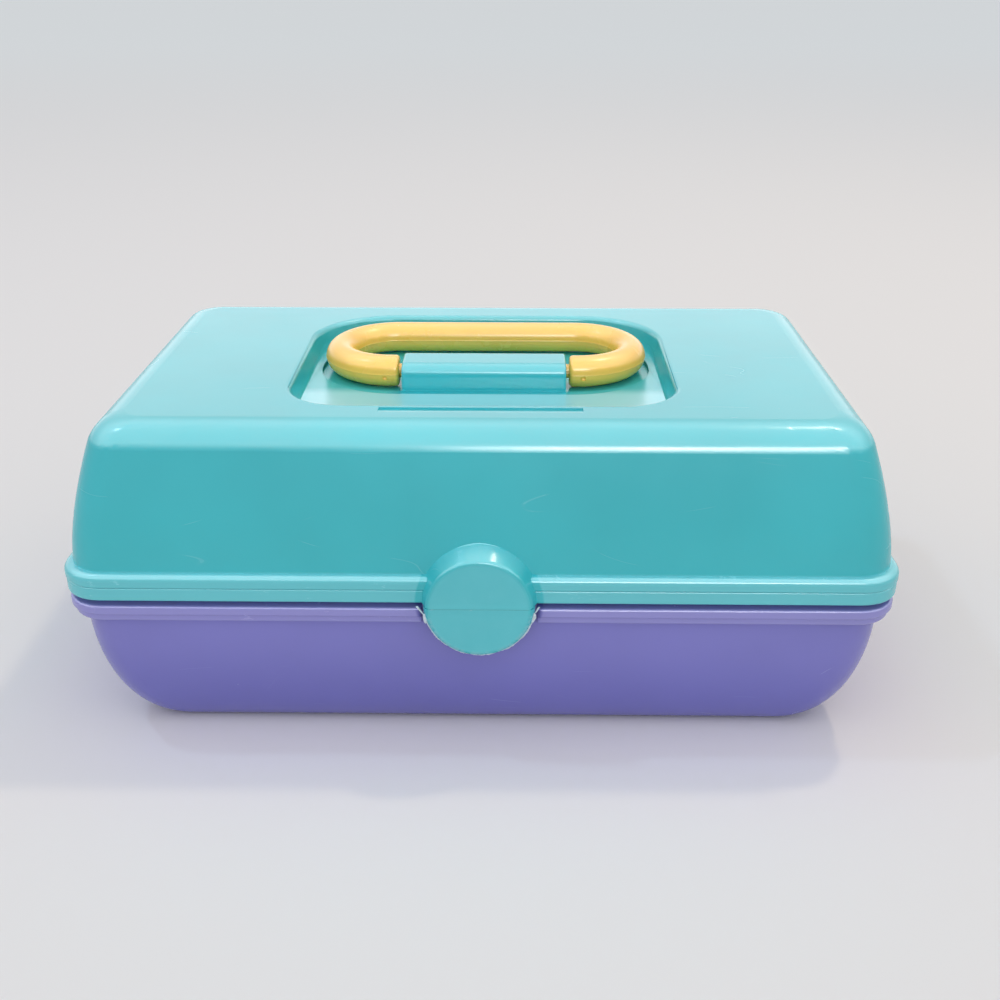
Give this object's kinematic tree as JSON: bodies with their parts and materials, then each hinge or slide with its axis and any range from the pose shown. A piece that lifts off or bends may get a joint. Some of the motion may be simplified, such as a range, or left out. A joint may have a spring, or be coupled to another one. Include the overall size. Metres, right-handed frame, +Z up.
{
  "type": "makeup case",
  "caption": "Two-tone hard plastic makeup case with a domed hinged lid, flap latch, fold-down handle, lid mirror and trays that rise on side arms as the lid opens.",
  "frame": {"origin": "middle of the outline, on the surface that the case stands on", "axes": "+X to the right seen from the latch, +Y from the latch to the hinge, +Z up"},
  "size_m": [0.33, 0.2141, 0.1373],
  "materials": {
    "aqua_plastic": "glossy moulded, lightly scratched",
    "lavender_plastic": "glossy moulded, lightly scratched",
    "cream_plastic": "glossy moulded",
    "tray_plastic": "satin moulded",
    "link_plastic": "satin moulded",
    "steel": "plain bright wire",
    "mirror_plastic": "glossy moulded",
    "silvering": "polished"
  },
  "bodies": {
    "base": {"base_shell": "lavender_plastic", "hinge_pin_left": "steel", "hinge_pin_right": "steel", "base_arm_pivots": "link_plastic"},
    "lid": {"lid_shell": "aqua_plastic", "lid_bracket_left": "link_plastic", "lid_bracket_right": "link_plastic", "bracket_screws": "steel", "mirror": "silvering", "mirror_frame": "mirror_plastic", "mirror_screws": "steel"},
    "handle": {"handle": "cream_plastic"},
    "latch": {"latch_flap": "aqua_plastic"},
    "arms": {"tray_arm_left": "link_plastic", "tray_arm_right": "link_plastic"},
    "lower_tray": {"lower_tray": "tray_plastic", "lower_tray_pivots": "link_plastic", "lower_divider_left": "tray_plastic", "lower_divider_right": "tray_plastic"},
    "upper_tray": {"upper_tray": "tray_plastic", "upper_tray_pivots": "link_plastic", "upper_divider_left": "tray_plastic", "upper_divider_right": "tray_plastic"}
  },
  "joints": [
    {"name": "lid_hinge", "type": "hinge", "parent": "base", "child": "lid", "pos_m": [0, 0.104, 0.06575], "axis": [-1, 0, 0], "range_deg": [0, 100]},
    {"name": "handle_pivot", "type": "hinge", "parent": "lid", "child": "handle", "pos_m": [0, -0.01, 0.13055], "axis": [1, 0, 0], "range_deg": [0, 160]},
    {"name": "latch_crease", "type": "hinge", "parent": "lid", "child": "latch", "pos_m": [0, -0.1064, 0.06675], "axis": [-1, 0, 0], "range_deg": [0, 120]},
    {"name": "arm_pivot", "type": "hinge", "parent": "base", "child": "arms", "pos_m": [0, -0.004, 0.0559], "axis": [-1, 0, 0], "range_deg": [0, 100]},
    {"name": "lower_tray_pivot", "type": "hinge", "parent": "lid", "child": "lower_tray", "pos_m": [0, 0.073, 0.06575], "axis": [1, 0, 0], "range_deg": [0, 100]},
    {"name": "upper_tray_pivot", "type": "hinge", "parent": "lid", "child": "upper_tray", "pos_m": [0, 0.042, 0.06575], "axis": [1, 0, 0], "range_deg": [0, 100]}
  ],
  "couplings": [
    {"joint": "arm_pivot", "follows": "lid_hinge", "ratio": 1},
    {"joint": "lower_tray_pivot", "follows": "lid_hinge", "ratio": 1},
    {"joint": "upper_tray_pivot", "follows": "lid_hinge", "ratio": 1}
  ]
}
